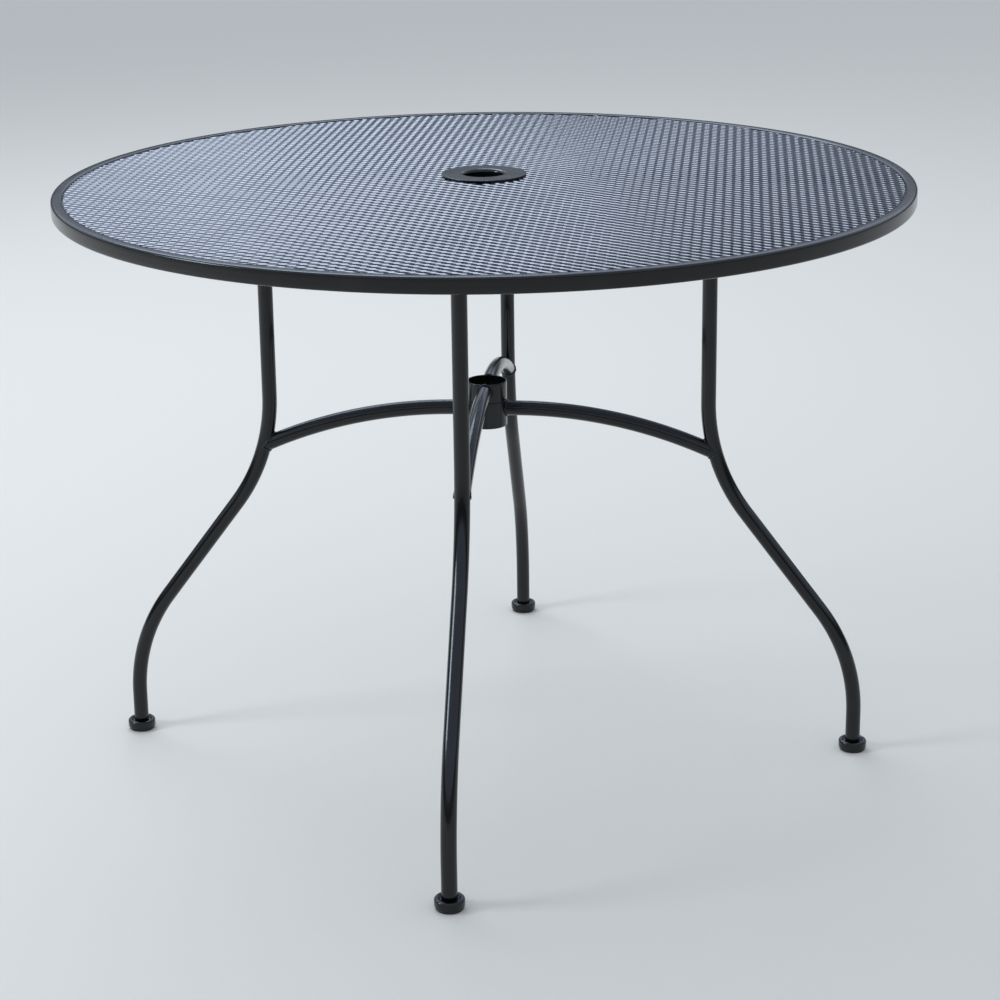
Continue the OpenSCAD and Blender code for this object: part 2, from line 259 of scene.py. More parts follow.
class NodeSheet(NodeTree):
    """A Geometry Nodes tree with named inputs."""

    MERGE_DISTANCE: ClassVar[float] = 0.00002

    def __init__(self, name: str, material: bpy.types.Material, **values: float) -> None:
        """Starts a tree that takes geometry, a material and numbers.

        Args:
            name: The tree's name.
            material: The material of what comes out.
            values: Its other inputs, by their names with underscores for spaces.
        """
        super().__init__(bpy.data.node_groups.new(name, "GeometryNodeTree"))
        self.values = {"Material": material} | self.titled(values)
        add = self.tree.interface.new_socket
        for way in ("OUTPUT", "INPUT"):
            add("Geometry", in_out=way, socket_type="NodeSocketGeometry")
        for word, value in self.values.items():
            kind = {float: "Float", int: "Int"}.get(type(value), "Material")
            add(word, in_out="INPUT", socket_type="NodeSocket" + kind)
        self.given = self.tree.nodes.new("NodeGroupInput").outputs
        self.result = self.tree.nodes.new("NodeGroupOutput").inputs[0]

    @staticmethod
    def titled(values: dict[str, float]) -> dict[str, object]:
        """Values by the names of the inputs that they are for."""
        return {word.replace("_", " ").title(): value for word, value in values.items()}

    def shape(self, kind: str, settings: dict[str, object] | None = None, **sockets: object) -> Socket:
        """Adds a node whose type starts with GeometryNode, and gives its first output."""
        return self.node("GeometryNode" + kind, settings=settings, **sockets)[0]

    def vector(self, x: object = 0.0, y: object = 0.0, z: object = 0.0) -> Socket:
        """A vector of three numbers."""
        return self.node("ShaderNodeCombineXYZ", x, y, z)[0]

    def minus(self, first: object, second: object) -> Socket:
        """The difference of two vectors."""
        return self.node("ShaderNodeVectorMath", first, second, settings={"operation": "SUBTRACT"})[0]

    def scaled(self, vector: Socket, factor: object) -> Socket:
        """A vector times a number."""
        return self.node("ShaderNodeVectorMath", vector, settings={"operation": "SCALE"}, Scale=factor)[0]

    def above(self, value: object, limit: object) -> Socket:
        """Whether one value is above another."""
        settings = {"data_type": "FLOAT", "operation": "GREATER_THAN"}
        return self.node("FunctionNodeCompare", value, limit, settings=settings)[0]

    def either(self, first: Socket, *others: Socket) -> Socket:
        """Tells whether any of the values is true.

        Args:
            first: A value.
            others: Further values.

        Returns:
            The answer at each point.
        """
        for other in others:
            first = self.node("FunctionNodeBooleanMath", first, other, settings={"operation": "OR"})[0]
        return first

    def position(self) -> Socket:
        """The place of each point, or of each face's middle."""
        return self.shape("InputPosition")

    def noise(self, scale: float, detail: float) -> bpy.types.bpy_prop_collection:
        """A noise over the places of the points, as a number and as a colour."""
        return self.node("ShaderNodeTexNoise", Vector=self.position(), Scale=scale, Detail=detail)

    def joined(self, *meshes: Socket) -> Socket:
        """Joins geometries.

        Args:
            meshes: The geometries.

        Returns:
            The whole.
        """
        made = self.tree.nodes.new("GeometryNodeJoinGeometry")
        for mesh in meshes:
            self.tree.links.new(mesh, made.inputs[0])
        return made.outputs[0]

    def merged(self, mesh: Socket) -> Socket:
        """The mesh without doubled points."""
        return self.shape("MergeByDistance", Geometry=mesh, Distance=self.MERGE_DISTANCE)

    def captured(self, mesh: Socket, domain: str, kind: str, *values: Socket) -> list[Socket]:
        """Stores values as they are at this step.

        Args:
            mesh: The geometry.
            domain: POINT or FACE.
            kind: The values' type.
            values: The values.

        Returns:
            The geometry, and then each stored value.
        """
        made = self.tree.nodes.new("GeometryNodeCaptureAttribute")
        made.domain = domain
        for number in range(len(values)):
            made.capture_items.new(kind, f"Value {number}")
        for socket, value in zip(made.inputs, (mesh, *values)):
            self.fill(socket, value)
        return list(made.outputs)[: len(values) + 1]

    def finish(self, mesh: Socket) -> None:
        """Ends the tree with its instances made real and its material set."""
        real = self.shape("RealizeInstances", Geometry=mesh)
        self.fill(self.result, self.shape("SetMaterial", Geometry=real, Material=self.given["Material"]))

    def run(self, seed: bpy.types.Mesh, name: str, **changes: float) -> bpy.types.Object:
        """Runs the tree on a mesh and keeps the result as a plain mesh.

        Args:
            seed: The mesh that goes in.
            name: The name of the piece that comes out.
            changes: Inputs whose values differ from the tree's own.

        Returns:
            The finished piece, with no modifier left.
        """
        piece = placed(name, seed)
        modifier = piece.modifiers.new("build", "NODES")
        modifier.node_group = self.tree
        values = self.values | self.titled(changes)
        for item in self.tree.interface.items_tree:
            if item.in_out == "INPUT" and item.name in values:
                modifier[item.identifier] = values[item.name]
        bpy.context.view_layer.update()
        depsgraph = bpy.context.evaluated_depsgraph_get()
        result = bpy.data.meshes.new_from_object(piece.evaluated_get(depsgraph), depsgraph=depsgraph)
        piece.modifiers.clear()
        piece.data = result
        result.name = name
        return piece


# Finishes


class Shader(NodeTree):
    """A material's nodes, which end in one Principled shader."""

    def __init__(self, name: str) -> None:
        """Starts a material.

        Args:
            name: The material's name.
        """
        self.material = bpy.data.materials.new(name)
        self.material.use_nodes = True
        super().__init__(self.material.node_tree)
        self.surface = self.tree.nodes["Principled BSDF"].inputs
        self.place = self.node("ShaderNodeTexCoord")["Object"]

    def set(self, **values: object) -> None:
        """Sets or links the Principled shader's own sockets, with underscores for spaces."""
        for key, value in values.items():
            self.fill(self.surface[key.replace("_", " ")], value)

    def noise(self, scale: float, detail: float = 2.0, roughness: float = 0.5) -> Socket:
        """A noise from 0 to 1 over the object's own coordinates, by its waves per metre."""
        sizes = {"Scale": scale, "Detail": detail, "Roughness": roughness}
        return self.node("ShaderNodeTexNoise", Vector=self.place, **sizes)[0]

    def ramp(self, value: Socket, source: Pair, target: Pair) -> Socket:
        """A value moved from one range to another and held inside it."""
        return self.node("ShaderNodeMapRange", value, *source, *target)[0]

    def blend(self, factor: Socket, first: object, second: Colour) -> Socket:
        """A colour between two, by a factor.

        Args:
            factor: Share of the second colour.
            first: A colour, or a colour output.
            second: The other colour.

        Returns:
            The mixed colour.
        """
        made = self.tree.nodes.new("ShaderNodeMix")
        made.data_type = "RGBA"
        for number, value in ((0, factor), (6, first), (7, second)):
            linked = isinstance(value, bpy.types.NodeSocket)
            self.fill(made.inputs[number], value if linked else (*value, 1.0))
        return made.outputs[2]

    def facing_up(self, least: float = 0.2) -> Socket:
        """How far the surface faces up, from 0 to 1, above a least share."""
        parts = self.node("ShaderNodeSeparateXYZ", self.node("ShaderNodeNewGeometry")["Normal"])
        return self.ramp(parts[2], (least, 1.0), (0.0, 1.0))

    def bump(self, *layers: tuple[Socket, float]) -> None:
        """Gives the surface relief.

        Args:
            layers: Heights from 0 to 1, each with its depth in metres.
        """
        below: dict[str, Socket] = {}
        for height, depth in layers:
            made = self.node("ShaderNodeBump", Strength=1.0, Distance=depth, Height=height, **below)
            below = {"Normal": made[0]}
        self.set(**below)


@dataclass(frozen=True)
class PowderCoat:
    """Black powder coat with orange peel, a little dust on top, faint rubbed patches, and a tint on its
    reflections that paints in a sky-blue reflection where it isn't white.
    """

    name: str
    base: Colour = (0.0032, 0.0033, 0.0036)
    rubbed: Colour = (0.008, 0.0083, 0.009)
    rubbed_at: Pair = (0.52, 0.76)
    rubbed_share: float = 0.8
    dust: Colour = (0.055, 0.054, 0.052)
    dust_at: Pair = (0.42, 0.74)
    dust_share: float = 0.12
    roughness_at: Pair = (0.3, 0.7)
    roughness: Pair = (0.12, 0.22)
    ior: float = 1.5
    specular: float = 0.34
    # Painted reflection: a tint on the reflections; other than white, it paints in a sky-blue reflection.
    gleam: Colour = (1.0, 1.0, 1.0)
    coat: float = 0.2
    coat_roughness: float = 0.06
    cloud_noise: Pair = (26.0, 3.0)
    speck_noise: tuple[float, ...] = (520.0, 2.0, 0.6)
    peel_noise: Pair = (420.0, 1.5)
    peel_depth: float = 0.00006
    grain_noise: Pair = (1900.0, 1.0)
    grain_depth: float = 0.000012

    def material(self) -> bpy.types.Material:
        """Builds the material.

        Returns:
            The material.
        """
        shader = Shader(self.name)
        shader.set(IOR=self.ior, Specular_IOR_Level=self.specular, Specular_Tint=(*self.gleam, 1.0))
        shader.set(Coat_Weight=self.coat, Coat_Roughness=self.coat_roughness)
        cloud, speck = shader.noise(*self.cloud_noise), shader.noise(*self.speck_noise)
        patches = shader.ramp(cloud, self.rubbed_at, (0.0, self.rubbed_share))
        settled = shader.times(shader.facing_up(), shader.ramp(speck, self.dust_at, (0.0, self.dust_share)))
        worn = shader.blend(patches, self.base, self.rubbed)
        shader.set(Base_Color=shader.blend(settled, worn, self.dust))
        shader.set(Roughness=shader.ramp(cloud, self.roughness_at, self.roughness))
        peel, grain = shader.noise(*self.peel_noise), shader.noise(*self.grain_noise)
        shader.bump((peel, self.peel_depth), (grain, self.grain_depth))
        return shader.material


@dataclass(frozen=True)
class PatchedFinish:
    """A finish with patches of another colour and roughness, and a fine grain."""

    name: str
    base: Colour
    patch: Colour
    patch_noise: tuple[float, ...]
    patch_at: Pair
    patch_share: float
    roughness: Pair
    grain_noise: Pair
    grain_depth: float
    ior: float = 1.5
    metallic: float = 0.0

    def material(self) -> bpy.types.Material:
        """Builds the material.

        Returns:
            The material.
        """
        shader = Shader(self.name)
        patches = shader.ramp(shader.noise(*self.patch_noise), self.patch_at, (0.0, self.patch_share))
        shader.set(IOR=self.ior, Metallic=self.metallic)
        shader.set(Base_Color=shader.blend(patches, self.base, self.patch))
        shader.set(Roughness=shader.ramp(patches, (0.0, 1.0), self.roughness))
        shader.bump((shader.noise(*self.grain_noise), self.grain_depth))
        return shader.material


@dataclass(frozen=True)
class PaleFloor:
    """The studio's plain floor."""

    name: str
    tone: Colour = (0.765, 0.68, 0.58)
    roughness: float = 0.9
    specular: float = 0.1

    def material(self) -> bpy.types.Material:
        """Builds the material.

        Returns:
            The material.
        """
        shader = Shader(self.name)
        shader.set(Base_Color=(*self.tone, 1.0))
        shader.set(Roughness=self.roughness, Specular_IOR_Level=self.specular)
        return shader.material


class Finishes:
    """Every finish of the table, made once."""

    def __init__(self) -> None:
        """Builds the materials."""
        self.coat = PowderCoat("black_powder_coat").material()
        self.mesh = PowderCoat(
            "mesh_powder_coat",
            roughness=(0.16, 0.26),
            specular=1.0,
            # Painted reflection: a blue tint in the mesh's highlights that stands in for the sky's blue.
            gleam=(0.92, 0.86, 1.0),
            peel_depth=0.00003,
            dust_share=0.08,
        ).material()
        self.bead = PowderCoat("weld_powder_coat", roughness=(0.16, 0.26), peel_depth=0.00009).material()
        self.glide = PatchedFinish(
            "glide_plastic",
            base=(0.012, 0.012, 0.012),
            patch=(0.05, 0.048, 0.045),
            patch_noise=(260.0, 4.0, 0.65),
            patch_at=(0.55, 0.72),
            patch_share=0.7,
            roughness=(0.45, 0.7),
            grain_noise=(2400.0, 1.0),
            grain_depth=0.00003,
            ior=1.48,
        ).material()
        self.zinc = PatchedFinish(
            "zinc_plate",
            base=(0.62, 0.63, 0.65),
            patch=(0.36, 0.37, 0.39),
            patch_noise=(330.0, 3.0),
            patch_at=(0.4, 0.65),
            patch_share=1.0,
            roughness=(0.24, 0.48),
            grain_noise=(1500.0, 2.0),
            grain_depth=0.00001,
            metallic=1.0,
        ).material()


# Points, sections and lines


def turned(points: Points, side: Side) -> Points:
    """Turns points about the table's axis.

    Args:
        points: Points given for the right-hand leg.
        side: The leg that they turn to.

    Returns:
        The turned points.
    """
    a = math.radians(side.value)
    spin = np.array([[math.cos(a), math.sin(a), 0], [-math.sin(a), math.cos(a), 0], [0, 0, 1]])
    return points @ spin


def ring(radius: float, centre: Place, count: int = 72) -> Points:
    """A level circle's points."""
    a = np.linspace(0, math.tau, count, endpoint=False)
    return np.stack([radius * np.cos(a), radius * np.sin(a), 0 * a], axis=1) + np.array(centre)


def arc(centre: Pair, radius: float, start: float, end: float, steps: int) -> Section:
    """Points of an arc in a section, from one angle to another in degrees."""
    angles = [math.radians(start + (end - start) * k / steps) for k in range(steps + 1)]
    return [(centre[0] + radius * math.cos(a), centre[1] + radius * math.sin(a)) for a in angles]


def round_box(across: Pair, upright: Pair, r: float, corner_steps: int, flat_steps: int) -> Section:
    """A rectangular outline with round corners, whose long flats are cut into steps.

    Args:
        across: Distances of its inner and outer side from the axis.
        upright: Heights of its lower and upper side.
        r: The corners' radius.
        corner_steps: Steps in a corner.
        flat_steps: Steps in a flat that is longer than the radius.

    Returns:
        The outline's points.
    """
    (inner, outer), (low, high) = ((start + r, end - r) for start, end in (across, upright))
    corners = ((outer, low, -90), (outer, high, 0), (inner, high, 90), (inner, low, 180))
    points = [point for x, z, a in corners for point in arc((x, z), r, a, a + 90, corner_steps)]
    outline = []
    for (x0, z0), (x1, z1) in zip(points, points[1:] + points[:1]):
        parts = flat_steps if math.hypot(x1 - x0, z1 - z0) > r else 1
        outline += [(x0 + (x1 - x0) * k / parts, z0 + (z1 - z0) * k / parts) for k in range(parts)]
    return outline


def lathe(name: str, section: Section, around: int, centre: Place = ORIGIN) -> bpy.types.Mesh:
    """Turns a section about a vertical axis.

    Args:
        name: The mesh's name.
        section: Distance from the axis and height of each point. It closes on itself, or it
            starts and ends on the axis.
        around: Steps round the axis.
        centre: The foot of the axis.

    Returns:
        The mesh.
    """
    cx, cy, cz = centre
    on_axis = section[0][0] == 0 and section[-1][0] == 0
    turning = section[1:-1] if on_axis else section
    count = len(turning)
    vertices: list[Place] = []
    faces: list[tuple[int, ...]] = []
    for k in range(around):
        a = math.tau * k / around
        vertices += [(cx + r * math.cos(a), cy + r * math.sin(a), cz + z) for r, z in turning]
    starts = [(k * count, (k + 1) % around * count) for k in range(around)]
    for here, there in starts:
        for i in range(count - 1 if on_axis else count):
            j = (i + 1) % count
            faces.append((here + i, there + i, there + j, here + j))
    if on_axis:
        low, high = len(vertices), len(vertices) + 1
        vertices += [(cx, cy, cz + section[end][1]) for end in (0, -1)]
        for here, there in starts:
            faces += [(low, there, here), (high, here + count - 1, there + count - 1)]
    return new_mesh(name, vertices, [], faces)


def line_mesh(name: str, lines: Lines) -> bpy.types.Mesh:
    """A mesh of edges only, for a tree that sweeps along them.

    Args:
        name: The mesh's name.
        lines: Each line's points, and whether it closes on itself.

    Returns:
        The mesh.
    """
    vertices: list[tuple[float, ...]] = []
    edges: list[tuple[int, int]] = []
    for line, closed in lines:
        start, count = len(vertices), len(line)
        vertices += [tuple(float(v) for v in point) for point in line]
        edges += [(start + k, start + k + 1) for k in range(count - 1)]
        if closed:
            edges.append((start + count - 1, start))
    return new_mesh(name, vertices, edges, [])


@dataclass
class Assembly:
    """A part of the table, which takes its finishes and sizes from the whole."""

    finishes: Finishes
    sizes: TableSizes = SIZES

    LATHE_SHARP: ClassVar[float] = 35.0

    def build(self) -> None:
        """Builds the part's pieces and dresses them."""
        raise NotImplementedError

    def turn(self, name: str, section: Section, around: int, node: str, centre: Place = ORIGIN) -> None:
        """Turns a coated piece about a vertical axis, to stand for a CAD node.

        Args:
            name: The piece's name.
            section: The section, as lathe takes it.
            around: Steps round the axis.
            node: The CAD node.
            centre: The foot of the axis.
        """
        piece = placed(name, lathe(name, section, around, centre))
        smooth_to(piece, self.LATHE_SHARP)
        piece.data.materials.append(self.finishes.coat)
        mount_piece(piece, Slot.COAT, node)


# Table top


@dataclass
class RimTube(Assembly):
    """The rim: a rectangular tube with round corners, rolled into a ring."""

    around: int = 288
    corner_steps: int = 6
    flat_steps: int = 3

    def build(self) -> None:
        """Builds the rim, which stands for the CAD tube."""
        s = self.sizes
        across, upright = (s.rim_r - s.rim_w, s.rim_r), (s.top_h - s.rim_h, s.top_h)
        section = round_box(across, upright, s.rim_corner, self.corner_steps, self.flat_steps)
        self.turn("rim_tube", section, self.around, "rim_ring")


@dataclass
class MeshTop(Assembly):
    """The raised expanded mesh: strands that part and meet in diamonds, on a low crown."""

    long_pitch: float = 22 * MM
    short_pitch: float = 13.2 * MM
    strand_w: float = 1.8 * MM
    strand_t: float = 1.6 * MM
    strand_lean: float = math.radians(16)
    knuckle_l: float = 2.2 * MM
    steps: int = 3
    inner_r: float = 30 * MM
    parting: float = 0.06
    sharp: float = 35.0

    MARGIN: ClassVar[int] = 3
    SPARE_EDGES: ClassVar[float] = 1.5
    MARK: ClassVar[float] = 0.25

    def cell(self) -> bpy.types.Mesh:
        """One knuckle and the four half strands that leave it, as a thin sheet.

        Returns:
            The mesh of the cell's upper face.
        """
        half_l, half_s, half_w = self.long_pitch / 2, self.short_pitch / 2, self.strand_w / 2
        lean = math.tan(self.strand_lean)
        start_x = self.knuckle_l / 2
        columns = [0.0] + [start_x + (half_l / 2 - start_x) * k / self.steps for k in range(self.steps + 1)]
        places: list[Place] = []
        for x in columns:
            t = min(1.0, max(0.0, (x - start_x) / (half_l - self.knuckle_l)))
            share = t * t * (3 - 2 * t)
            middle = half_w + (half_s - self.strand_w) * share
            rise = lean * half_w * (1 - 2 * share)
            places += [(x, middle + edge, rise + lean * edge) for edge in (-half_w, half_w)]
        vertices: list[Place] = []
        faces: list[tuple[int, ...]] = []
        for sx, sy in ((1, 1), (-1, 1), (-1, -1), (1, -1)):
            start = len(vertices)
            vertices += [(sx * x, sy * y, sy * z) for x, y, z in places]
            for a in range(start, start + 2 * len(columns) - 2, 2):
                corners = (a, a + 2, a + 3, a + 1)
                faces.append(corners if sx * sy > 0 else corners[::-1])
        return new_mesh("mesh_cell", vertices, [], faces)

    def tree(self) -> NodeSheet:
        """The tree that repeats the cell over a quarter of the top, trims it and thickens it.

        Returns:
            The tree.
        """
        s = self.sizes
        sheet = NodeSheet(
            "expanded_mesh",
            self.finishes.mesh,
            long_pitch=self.long_pitch,
            short_pitch=self.short_pitch,
            outer_radius=s.mesh_r,
            inner_radius=self.inner_r,
            side_x=1.0,
            side_y=1.0,
            edge_height=s.top_h - s.mesh_drop - self.strand_w / 2 * math.tan(self.strand_lean),
            crown_slope=s.crown_slope,
            thickness=self.strand_t,
            columns=2 * math.ceil(s.mesh_r / self.long_pitch) + self.MARGIN,
            rows=2 * math.ceil(s.mesh_r / self.short_pitch) + self.MARGIN,
        )
        given = sheet.given
        long_pitch, short_pitch = given["Long Pitch"], given["Short Pitch"]
        outer, inner = given["Outer Radius"], given["Inner Radius"]
        grid = sheet.shape(
            "MeshGrid",
            Size_X=sheet.times(long_pitch, sheet.math("SUBTRACT", given["Columns"], 1.0)),
            Size_Y=sheet.times(short_pitch, sheet.math("SUBTRACT", given["Rows"], 1.0)),
            Vertices_X=given["Columns"],
            Vertices_Y=given["Rows"],
        )
        half_step = sheet.vector(sheet.times(long_pitch, 0.5), sheet.times(short_pitch, 0.5))
        between = sheet.shape("Transform", Geometry=grid, Translation=half_step)
        x, y, z = sheet.node("ShaderNodeSeparateXYZ", sheet.position())
        radius = sheet.math("SQRT", sheet.math("ADD", sheet.times(x, x), sheet.times(y, y)))
        side_x, side_y = sheet.times(x, given["Side X"]), sheet.times(y, given["Side Y"])
        needless = sheet.either(
            sheet.above(radius, sheet.math("ADD", outer, long_pitch)),
            sheet.above(sheet.times(side_x, -1.0), long_pitch),
            sheet.above(sheet.times(side_y, -1.0), long_pitch),
        )
        cells = sheet.shape(
            "InstanceOnPoints",
            Points=sheet.joined(grid, between),
            Selection=sheet.node("FunctionNodeBooleanMath", needless, settings={"operation": "NOT"})[0],
            Instance=given["Geometry"],
        )
        real = sheet.merged(sheet.shape("RealizeInstances", Geometry=cells))
        limits = sheet.above(radius, outer), sheet.above(inner, radius)
        kept, beyond, within = sheet.captured(real, "POINT", "BOOLEAN", *limits)
        unwanted = sheet.either(beyond, within, sheet.above(0.0, side_x), sheet.above(0.0, side_y))
        trimmed = sheet.shape("DeleteGeometry", {"domain": "FACE"}, Geometry=kept, Selection=unwanted)
        held = sheet.math("MAXIMUM", sheet.math("MINIMUM", radius, outer), inner)
        pull = sheet.math("DIVIDE", held, radius)
        crown = sheet.times(sheet.math("SUBTRACT", outer, held), given["Crown Slope"])
        height = sheet.math("ADD", z, sheet.math("ADD", given["Edge Height"], crown))
        spot = sheet.vector(sheet.times(x, pull), sheet.times(y, pull), height)
        face = self.unpinched(sheet, sheet.shape("SetPosition", Geometry=trimmed, Position=spot))
        walls = sheet.shape(
            "ExtrudeMesh",
            {"mode": "FACES"},
            Mesh=sheet.shape("FlipFaces", Mesh=face),
            Offset=sheet.vector(z=sheet.times(given["Thickness"], -1.0)),
            Offset_Scale=1.0,
            Individual=False,
        )
        sheet.finish(sheet.merged(sheet.joined(face, walls)))
        return sheet

    def unpinched(self, sheet: NodeSheet, face: Socket) -> Socket:
        """Parts the trimmed strands that touch at one point only, by a hair.

        Where faces meet without an edge between them, the point has two more edges than faces.
        Its border edges are split, and each face's own point moves a little towards its middle.

        Args:
            sheet: The tree.
            face: The trimmed sheet.

        Returns:
            The sheet, in which faces meet only along edges.
        """
        around = sheet.node("GeometryNodeInputMeshVertexNeighbors")
        spare = sheet.math("SUBTRACT", around["Vertex Count"], around["Face Count"])
        marked, pinched = sheet.captured(face, "POINT", "FLOAT", sheet.above(spare, self.SPARE_EDGES))
        faces = sheet.node("GeometryNodeInputMeshEdgeNeighbors")["Face Count"]
        border = sheet.above(sheet.times(pinched, sheet.math("SUBTRACT", 2.0, faces)), self.MARK)
        split = sheet.shape("SplitEdges", Mesh=marked, Selection=border)
        place = sheet.position()
        centred, middle = sheet.captured(split, "FACE", "VECTOR", place)
        return sheet.shape(
            "SetPosition",
            Geometry=centred,
            Selection=sheet.above(pinched, self.MARK),
            Offset=sheet.scaled(sheet.minus(middle, place), self.parting),
        )

    def build(self) -> None:
        """Builds the four quarters of the mesh, which together stand for the CAD panel."""
        sheet, cell = self.tree(), self.cell()
        for row, column in (("back", "right"), ("back", "left"), ("front", "left"), ("front", "right")):
            sides = {"side_x": 1.0 if column == "right" else -1.0, "side_y": 1.0 if row == "back" else -1.0}
            piece = sheet.run(cell, f"top_mesh_{row}_{column}", **sides)
            smooth_to(piece, self.sharp)
            nodes = ["mesh_panel"] if (row, column) == ("front", "right") else []
            mount_piece(piece, Slot.MESH, *nodes)


@dataclass
class MeshTacks(Assembly):
    """Small tack welds that hold the mesh's edge to the rim, under the strands."""

    count: int = 96
    size: float = 1.9 * MM
    least: Place = (0.75, 0.9, 0.6)
    most: Place = (1.05, 1.5, 0.85)
    inset: float = 0.9 * MM
    drop: float = 0.2 * MM
    seed: int = 7
    rings: int = 4
    around: int = 8

    def blob(self) -> bpy.types.Mesh:
        """A low, rounded lump with a few dozen faces.

        Returns:
            The lump's mesh.
        """
        angles = [math.pi * i / self.rings for i in range(1, self.rings)]
        side = [(self.size * math.sin(a), -self.size * math.cos(a)) for a in angles]
        return lathe("tack_blob", [(0.0, -self.size)] + side + [(0.0, self.size)], self.around)

    def tree(self) -> NodeSheet:
        """The tree that sets a blob at each step of a circle, each of its own size.

        Returns:
            The tree.
        """
        s = self.sizes
        sheet = NodeSheet(
            "mesh_tacks",
            self.finishes.bead,
            circle_radius=s.mesh_r - self.inset,
            height=s.top_h - s.mesh_drop - s.mesh_t - self.drop,
            count=self.count,
            seed=self.seed,
        )
        given = sheet.given
        circle = sheet.shape("MeshCircle", Vertices=given["Count"], Radius=given["Circle Radius"])
        raised = sheet.shape("Transform", Geometry=circle, Translation=sheet.vector(z=given["Height"]))
        size = sheet.node(
            "FunctionNodeRandomValue", self.least, self.most,
            settings={"data_type": "FLOAT_VECTOR"}, Seed=given["Seed"],
        )[0]
        step = sheet.math("DIVIDE", math.tau, given["Count"])
        blobs = sheet.shape(
            "InstanceOnPoints",
            Points=raised,
            Instance=given["Geometry"],
            Scale=size,
            Rotation=sheet.vector(z=sheet.times(sheet.shape("InputIndex"), step)),
        )
        sheet.finish(sheet.shape("SetShadeSmooth", Geometry=blobs))
        return sheet

    def build(self) -> None:
        """Builds the ring of tacks."""
        mount_piece(self.tree().run(self.blob(), "mesh_tack_welds"), Slot.COAT)


# Frame


@dataclass
class Brace:
    """One brace: its centre line runs level from the axis, then bends down to its leg."""

    side: Side
    sizes: TableSizes = SIZES
    bead_lift: float = 0.25 * MM
    start_inset: float = 1.2 * MM
    leg_straight: int = 60
    leg_samples: int = 160
    seam_from: float = 0.75
    halvings: int = 26

    @property
    def level_z(self) -> float:
        """Height of the level part."""
        return self.sizes.side_brace_z if self.side.lies_across else self.sizes.front_brace_z

    @property
    def joint_z(self) -> float:
        """Height at which the brace meets its leg."""
        return self.sizes.side_joint_z if self.side.lies_across else self.sizes.front_joint_z

    @property
    def reach(self) -> float:
        """Distance of a bead's centre from the centre line of the tube that it lies on."""
        return self.sizes.tube_r + self.bead_lift

    def leg_line(self) -> Points:
        """The centre line of the leg's upper bend.

        Returns:
            The line's points, in the plane of the right-hand leg.
        """
        s = self.sizes
        a = np.linspace(0, math.asin(s.slope_sine), self.leg_samples)
        out, down = s.upper_bend_r * (1 - np.cos(a)), s.upper_bend_r * np.sin(a)
        bend = np.stack([s.leg_r + out, 0 * a, s.bend_z - down], axis=1)
        top = np.array([[s.leg_r, 0, s.bend_z + k * MM] for k in range(self.leg_straight, 0, -1)])
        return np.concatenate([top, bend])

    def bend(self) -> Pair:
        """The bend that leaves the level part and ends on the leg's centre line.

        Returns:
            The bend's radius, and the angle that it turns through.
        """
        s = self.sizes
        turn = math.asin((s.bend_z - self.joint_z) / s.upper_bend_r)
        span = s.leg_r + s.upper_bend_r * (1 - math.cos(turn)) - s.brace_level_r
        drop = self.level_z - self.joint_z
        radius = (span * span + drop * drop) / (2 * drop)
        return radius, math.asin(span / radius)

    def centre(self, travel: float) -> Points:
        """A point on the bend's centre line.

        Args:
            travel: Angle along the bend.

        Returns:
            The point, in the plane of the right-hand leg.
        """
        radius, _ = self.bend()
        x = self.sizes.brace_level_r + radius * math.sin(travel)
        return np.array([x, 0.0, self.level_z - radius + radius * math.cos(travel)])

    def skin(self, travel: float, angle: float) -> Points:
        """A point on the brace's surface.

        Args:
            travel: Angle along the bend.
            angle: Angle round the tube, from its upper side.

        Returns:
            The point, in the plane of the right-hand leg.
        """
        out = np.array([math.sin(travel), 0.0, math.cos(travel)])
        across = np.array([0.0, 1.0, 0.0])
        return self.centre(travel) + self.reach * (math.cos(angle) * out + math.sin(angle) * across)

    def line(self, steps: int = 48) -> Points:
        """The whole centre line, from the collar's wall to the leg's centre line.

        Args:
            steps: Steps along the bend.

        Returns:
            The line's points.
        """
        _, end = self.bend()
        start = np.array([self.sizes.collar_r - self.start_inset, 0.0, self.level_z])
        return turned(np.array([start] + [self.centre(end * k / steps) for k in range(steps + 1)]), self.side)

    def seam(self, count: int = 96) -> Points:
        """The line along which the brace's skin meets its leg's.

        Args:
            count: Points round the seam.

        Returns:
            The seam's points.
        """
        line, (_, end) = self.leg_line(), self.bend()
        found = []
        for angle in np.linspace(0, math.tau, count, endpoint=False):
            low, high = end * self.seam_from, end
            for _ in range(self.halvings):
                middle = (low + high) / 2
                gap = np.min(np.linalg.norm(line - self.skin(middle, angle), axis=1))
                low, high = (middle, high) if gap > self.reach else (low, middle)
            found.append(self.skin(high, angle))
        return turned(np.array(found), self.side)

    def collar_seam(self, count: int = 96) -> Points:
        """The line along which the level part's skin meets the collar's.

        Args:
            count: Points round the seam.

        Returns:
            The seam's points.
        """
        a = np.linspace(0, math.tau, count, endpoint=False)
        y, z = self.reach * np.sin(a), self.level_z + self.reach * np.cos(a)
        x = np.sqrt((self.sizes.collar_r + self.bead_lift) ** 2 - y**2)
        return turned(np.stack([x, y, z], axis=1), self.side)


